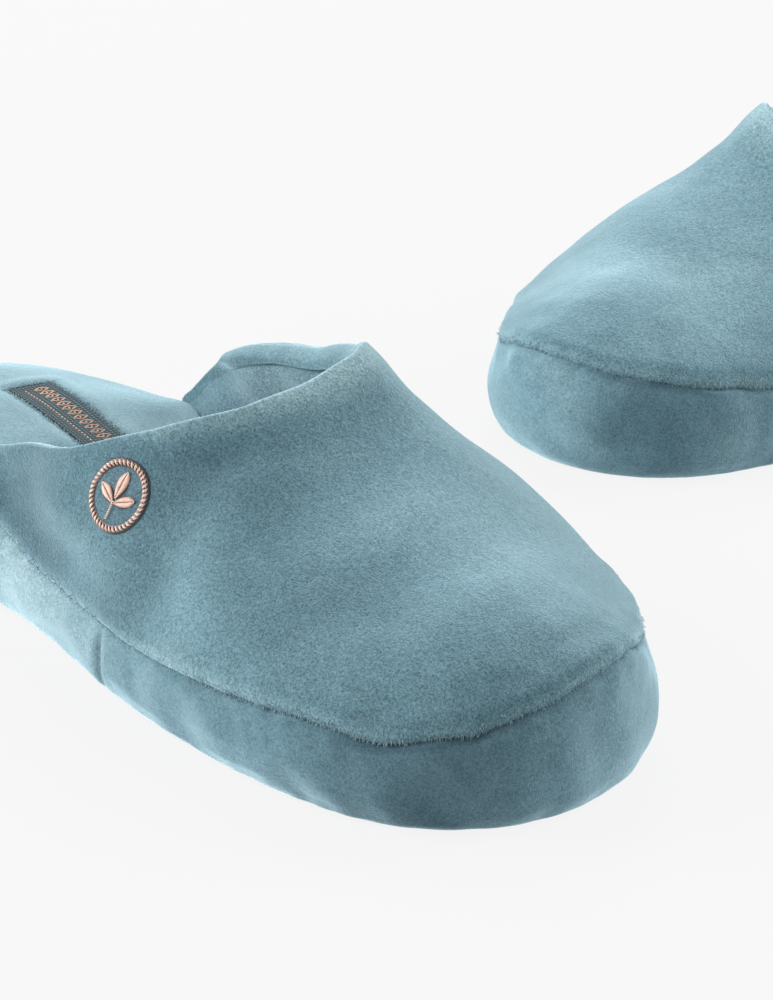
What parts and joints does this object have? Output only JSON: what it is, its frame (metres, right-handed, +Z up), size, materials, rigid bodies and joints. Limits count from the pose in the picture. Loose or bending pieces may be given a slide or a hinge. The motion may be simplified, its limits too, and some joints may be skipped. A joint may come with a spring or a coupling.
{
  "type": "spa slippers",
  "caption": "Plush closed-toe mules with a padded platform sole, cut-away sides, a round side badge and a cushioned foot-bed, for wear in a spa or bathroom.",
  "frame": {"origin": "on the floor under the middle of the pair's bounding box", "axes": "+Z up; the right slipper points its toe along +X, and the left slipper points its toe about 7 degrees off -Y, behind it; +Y runs from the right slipper to the left one"},
  "size_m": [0.2728, 0.4626, 0.0772],
  "materials": {
    "tread": "matt moulded tread sheet",
    "platform_foam": "matt closed-cell foam",
    "padding_foam": "matt open-cell foam",
    "sock_plush": "short-pile plush",
    "wall_plush": "short-pile plush",
    "upper_plush": "short-pile plush",
    "lining_plush": "short-pile plush",
    "woven_label": "woven damask ribbon",
    "badge_backing": "felted embroidery ground",
    "badge_thread": "satin embroidery thread"
  },
  "bodies": {
    "right_forefoot": {"right_outsole_front": "tread", "right_platform_front": "platform_foam", "right_footbed_foam_front": "padding_foam", "right_footbed_sock_front": "sock_plush", "right_toe_wall_cover": "wall_plush", "right_vamp_outer": "upper_plush", "right_vamp_padding": "padding_foam", "right_vamp_lining": "lining_plush"},
    "right_heel": {"right_outsole_rear": "tread", "right_platform_rear": "platform_foam", "right_footbed_foam_rear": "padding_foam", "right_footbed_sock_rear": "sock_plush", "right_outer_wall_cover": "wall_plush", "right_inner_wall_cover": "wall_plush", "right_heel_wall_cover": "wall_plush", "right_outer_quarter_outer": "upper_plush", "right_outer_quarter_padding": "padding_foam", "right_outer_quarter_lining": "lining_plush", "right_inner_quarter_outer": "upper_plush", "right_inner_quarter_padding": "padding_foam", "right_inner_quarter_lining": "lining_plush", "right_woven_label": "woven_label", "right_badge_backing": "badge_backing", "right_badge_ring": "badge_thread", "right_badge_motif": "badge_thread"},
    "left_forefoot": {"left_outsole_front": "tread", "left_platform_front": "platform_foam", "left_footbed_foam_front": "padding_foam", "left_footbed_sock_front": "sock_plush", "left_toe_wall_cover": "wall_plush", "left_vamp_outer": "upper_plush", "left_vamp_padding": "padding_foam", "left_vamp_lining": "lining_plush"},
    "left_heel": {"left_outsole_rear": "tread", "left_platform_rear": "platform_foam", "left_footbed_foam_rear": "padding_foam", "left_footbed_sock_rear": "sock_plush", "left_outer_wall_cover": "wall_plush", "left_inner_wall_cover": "wall_plush", "left_heel_wall_cover": "wall_plush", "left_outer_quarter_outer": "upper_plush", "left_outer_quarter_padding": "padding_foam", "left_outer_quarter_lining": "lining_plush", "left_inner_quarter_outer": "upper_plush", "left_inner_quarter_padding": "padding_foam", "left_inner_quarter_lining": "lining_plush", "left_woven_label": "woven_label", "left_badge_backing": "badge_backing", "left_badge_ring": "badge_thread", "left_badge_motif": "badge_thread"}
  },
  "joints": [
    {"name": "right_sole_flex", "type": "hinge", "parent": "right_forefoot", "child": "right_heel", "pos_m": [0.02859, -0.17664, 0.027], "axis": [0, 1, 0], "range_deg": [0, 30], "stiffness_Nm_per_rad": 0.6, "deforming": ["right_outer_quarter_outer", "right_outer_quarter_padding", "right_outer_quarter_lining", "right_inner_quarter_outer", "right_inner_quarter_padding", "right_inner_quarter_lining"]},
    {"name": "left_slipper_lift", "type": "slide", "parent": "right_forefoot", "child": "left_forefoot", "axis": [0, 0, 1], "range_m": [0, 0.15]},
    {"name": "left_sole_flex", "type": "hinge", "parent": "left_forefoot", "child": "left_heel", "pos_m": [-0.01988, 0.06735, 0.027], "axis": [0.9919, -0.1267, 0], "range_deg": [0, 30], "stiffness_Nm_per_rad": 0.6, "deforming": ["left_outer_quarter_outer", "left_outer_quarter_padding", "left_outer_quarter_lining", "left_inner_quarter_outer", "left_inner_quarter_padding", "left_inner_quarter_lining"]}
  ]
}
